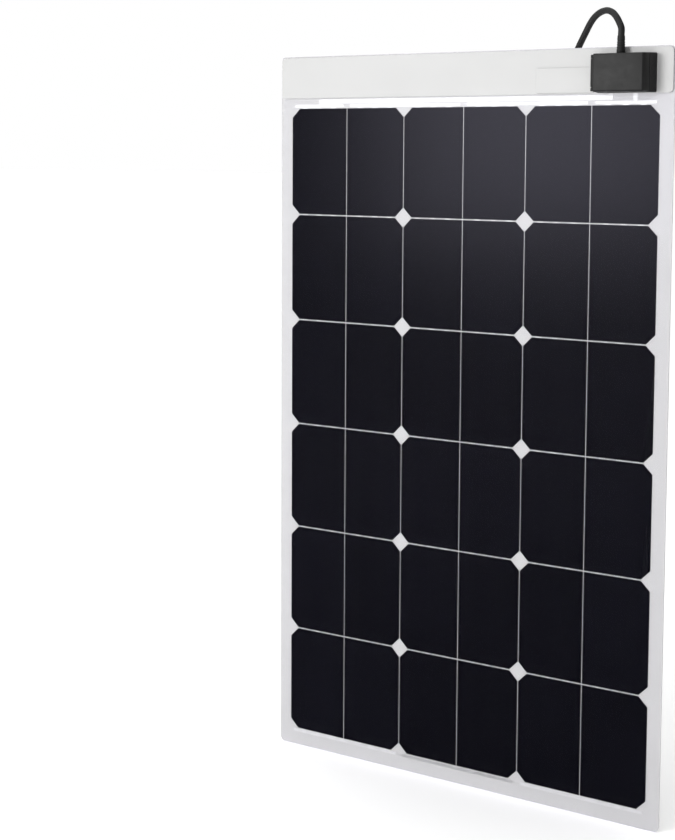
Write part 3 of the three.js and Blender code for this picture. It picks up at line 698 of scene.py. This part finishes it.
def add_strain_relief(rubber):
    """A soft tapered boot with shallow bending grooves, on a short neck through the box's wall."""
    bottom, top = RELIEF_LOW.z, RELIEF_HIGH.z
    wall = BOX_TOP_Z
    flange, neck, base, tip = 4.3 * MM, 3.8 * MM, 4.6 * MM, 3.9 * MM
    profile = [
        (0, bottom), (flange - 0.1 * MM, bottom), (flange, bottom + 0.15 * MM),
        (flange, wall - 3.8 * MM), (neck, wall - 3.7 * MM), (neck, wall + 0.2 * MM),
        (base - 0.3 * MM, wall + 0.25 * MM), (base, wall + 0.6 * MM), (base, wall + 3 * MM),
    ]
    groove_pitch = 2.6 * MM
    groove_depth = 0.45 * MM
    groove = [(0, 0), (0.6, 0.15), (1, 0.4), (1, 0.8), (0.6, 1.05)]
    for k in range(4):
        low = wall + 4 * MM + k * groove_pitch
        radius = base + (tip - base) * (low - wall) / (top - wall)
        profile += [(radius - share * groove_depth, low + up * MM) for share, up in groove]
        profile.append((radius - 0.05 * MM, low + 1.2 * MM))
    profile += [(tip, top - 0.6 * MM), (tip - 0.1 * MM, top - 0.15 * MM), (tip - 0.3 * MM, top), (0, top)]
    relief = turned("strain_relief_boot", profile, Vector((CABLE_X, CABLE_Y, 0)), angle=50)
    return link(relief, "panel", rubber, ["strain_relief"])


def add_box(looks):
    """The box's two shells, the cover plate and the clamps, each with its edges rounded."""
    base = refined("box_base", "box_base_shell", 0.25 * MM)
    link(base, "panel", looks["box"], ["box_base"])
    lid = refined("box_lid", "box_lid_shell", 0.3 * MM)
    link(lid, "lid", looks["box"], ["box_lid"])
    plate = refined("lead_cover", "lead_cover_plate", 0.5 * MM, 3)
    link(plate, "panel", looks["trim"], ["lead_cover"])
    for pole in ("positive", "negative"):
        node = f"{pole}_terminal"
        link(refined(node, f"{pole}_clamp", 0.25 * MM), "panel", looks["terminal"], [node])
        add_terminal_screw(f"{pole}_clamp_screw", node, looks["screw"])


def add_terminal_screw(name, node, metal):
    """A slotted clamp screw whose head sits in the terminal's front hole."""
    low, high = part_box(node)
    radius = 1.7 * MM
    head_y = low.y + 0.3 * MM
    middle = Vector(((low.x + high.x) / 2, head_y, (low.z + high.z) / 2))
    profile = [(0, -2.0), (0.9, -2.0), (0.9, -0.9), (1.7, -0.8), (1.7, -0.2), (1.55, 0.0), (0, 0.0)]
    points = [(r * MM, h * MM) for r, h in profile]
    bm = lathe_mesh(points, 32)
    turn = Vector((0, 0, 1)).rotation_difference(Vector((0, -1, 0)))
    bmesh.ops.transform(bm, verts=bm.verts, matrix=Matrix.Translation(middle) @ turn.to_matrix().to_4x4())
    screw = mesh_object(name, bm)
    cutter_bm = bmesh.new()
    slot_width, slot_depth = 0.6 * MM, 0.55 * MM
    add_block(
        cutter_bm,
        (middle.x - radius * 1.2, head_y - 1 * MM, middle.z - slot_width / 2),
        (middle.x + radius * 1.2, head_y + slot_depth, middle.z + slot_width / 2),
    )
    cutter = mesh_object(name + "_slot", cutter_bm)
    bpy.context.scene.collection.objects.link(cutter)
    modifier = screw.modifiers.new("slot", "BOOLEAN")
    modifier.object = cutter
    modifier.operation = "DIFFERENCE"
    apply_modifiers(screw)
    bpy.data.objects.remove(cutter)
    smooth(screw.data)
    return link(screw, "panel", metal)


def add_diode(looks):
    """An axial bypass diode: moulded body with a cathode band, and two straight tinned legs."""
    low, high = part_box("bypass_diode")
    centre = (low + high) / 2
    start = Vector((low.x, centre.y, centre.z))
    along = (1, 0, 0)
    length = high.x - low.x
    middle = length / 2
    radius = (high.z - low.z) / 2
    mould_radius = radius * 0.995
    outline = [(-4.5, 0), (-4.5, 0.78), (-4.2, 0.96), (-3.9, 1), (3.9, 1), (4.2, 0.96), (4.5, 0.78), (4.5, 0)]
    profile = [(share * mould_radius, middle + place * MM) for place, share in outline]
    body = turned("diode_body", profile, start, along)
    link(body, "panel", looks["epoxy"], ["bypass_diode"])
    band_start, band_end = middle + 2.2 * MM, middle + 3.4 * MM
    profile = [(0, band_start), (radius, band_start), (radius, band_end), (0, band_end)]
    link(turned("diode_band", profile, start, along), "panel", looks["band"])
    wire = 0.6 * MM
    chamfer = 0.2 * MM
    inside_body = 4.4 * MM
    for name, first, last in (("left", 0, middle - inside_body), ("right", middle + inside_body, length)):
        inner, outer = first + chamfer, last - chamfer
        profile = [(0, first), (wire * 0.8, first), (wire, inner), (wire, outer), (0, last)]
        leg = turned(f"diode_leg_{name}", profile, start, along, 20)
        link(leg, "panel", looks["screw"])


def add_inner_cores(looks):
    """The cable's two cores from the strain relief's neck, looped into the clamps."""
    poles = (("positive", looks["red"], "red_core"), ("negative", looks["core"], "cable_jacket"))
    for pole, look, slot in poles:
        low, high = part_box(f"{pole}_terminal")
        into = Vector(((low.x + high.x) / 2, (low.y + high.y) / 2, high.z))
        side = 1 if into.x > CABLE_X else -1
        start = Vector((CABLE_X + side * 1.75 * MM, CABLE_Y, RELIEF_LOW.z + 0.5 * MM))
        points = [
            start,
            start + Vector((side * 0.5, -0.8, -2.6)) * MM,
            start + Vector((side * 2.7, -2.4, -5)) * MM,
            into + Vector((-side * 5.6, -3.6, 4)) * MM,
            into + Vector((-side * 2.4, -2.2, 3.6)) * MM,
            into + Vector((-side * 0.4, -0.6, 1.6)) * MM,
            into + Vector((0, 0, -1)) * MM,
            into + Vector((0, 0, -4)) * MM,
        ]
        core = tube(f"{pole}_inner_core", catmull_rom(points, 10), 1.5 * MM, 5)
        link(core, "panel", look)


# ---- stage ------------------------------------------------------------------------------------------


def add_stage():
    """A plain floor that reaches past the camera's horizon in every view."""
    reach = 40.0
    bm = bmesh.new()
    corners = [(-reach, -reach), (reach, -reach), (reach, reach), (-reach, reach)]
    bm.faces.new([bm.verts.new((x, y, FLOOR_Z)) for x, y in corners])
    floor = mesh_object("floor", bm)
    bpy.context.scene.collection.objects.link(floor)
    floor.data.materials.append(floor_look())


def add_area_light(name, place, aim, size, watts):
    """A rectangular light at a place, turned towards its aim."""
    data = bpy.data.lights.new(name, "AREA")
    data.shape = "RECTANGLE"
    data.size, data.size_y = size
    data.energy = watts
    light = bpy.data.objects.new(name, data)
    bpy.context.scene.collection.objects.link(light)
    light.location = place
    light.rotation_mode = "QUATERNION"
    light.rotation_quaternion = (Vector(aim) - Vector(place)).to_track_quat("-Z", "Y")


def add_world():
    """White where the camera looks past the object. As light, a bright dome that leans to the left."""
    world = bpy.data.worlds.new("studio")
    bpy.context.scene.world = world
    world.use_nodes = True
    tree = world.node_tree
    tree.nodes.clear()
    place = tree.nodes.new("ShaderNodeTexCoord")
    lean = tree.nodes.new("ShaderNodeVectorMath")
    lean.operation = "DOT_PRODUCT"
    lean.inputs[1].default_value = (-0.3, -0.2, 0.93)
    soft = tree.nodes.new("ShaderNodeMapRange")
    soft.interpolation_type = "SMOOTHSTEP"
    for socket, number in (("From Min", 0.33), ("From Max", 0.75), ("To Min", 0.06), ("To Max", 1.8)):
        soft.inputs[socket].default_value = number
    light = tree.nodes.new("ShaderNodeBackground")
    light.inputs["Color"].default_value = (1, 1, 1, 1)
    seen = tree.nodes.new("ShaderNodeBackground")
    seen.inputs["Color"].default_value = (1, 1, 1, 1)
    path = tree.nodes.new("ShaderNodeLightPath")
    mix = tree.nodes.new("ShaderNodeMixShader")
    out = tree.nodes.new("ShaderNodeOutputWorld")
    for source, into in (
        (place.outputs["Generated"], lean.inputs[0]),
        (lean.outputs["Value"], soft.inputs["Value"]),
        (soft.outputs["Result"], light.inputs["Strength"]),
        (path.outputs["Is Camera Ray"], mix.inputs[0]),
        (light.outputs["Background"], mix.inputs[1]),
        (seen.outputs["Background"], mix.inputs[2]),
        (mix.outputs["Shader"], out.inputs["Surface"]),
    ):
        tree.links.new(source, into)


def add_lights():
    """A white dome, and a key on the left that the film mirrors softly near the sheet's top."""
    add_world()
    add_area_light("key", place=(-1.28, -2.8, 0.52), aim=(0.1, 0, 0.35), size=(0.95, 0.9), watts=62)
    bpy.context.scene.view_settings.view_transform = "Standard"


# ---- making -----------------------------------------------------------------------------------------

add_camera()

LOOKS = {
    "cells": [cell_look(variant) for variant in range(3)],
    "carrier": carrier_look(),
    "encapsulant": encapsulant_look(),
    "film": film_look(),
    "ribbon": ribbon_look(),
    "trim": trim_look(),
    "box": box_look(),
    "rubber": rubber_look(),
    "jacket": rubber_look("cable_jacket", 0.011, 0.52),
    "terminal": terminal_look(),
    "screw": terminal_look("zinc_plate", (0.48, 0.48, 0.5)),
    "epoxy": epoxy_look(),
    "band": epoxy_look("band_paint", (0.6, 0.6, 0.6), 0.5),
    "red": epoxy_look("red_insulation", (0.35, 0.022, 0.016), 0.45),
    "core": epoxy_look("black_insulation", (0.014, 0.014, 0.014), 0.45),
    "tape": tie_look(),
}

cable, cable_exit = add_cable(LOOKS["jacket"])
sleeve = add_end_sleeve(LOOKS["rubber"])
core_ends = add_core_end("red_core", "core_positive", LOOKS["red"], LOOKS["screw"])
core_ends += add_core_end("black_core", "core_negative", LOOKS["core"], LOOKS["screw"])
ties = [add_tie("front_tie", -1, LOOKS["tape"]), add_tie("rear_tie", 1, LOOKS["tape"])]

finish_sheet(LOOKS)
add_interconnects(LOOKS["ribbon"])
add_strain_relief(LOOKS["rubber"])
add_box(LOOKS)
add_diode(LOOKS)
add_inner_cores(LOOKS)
add_stage()
add_lights()
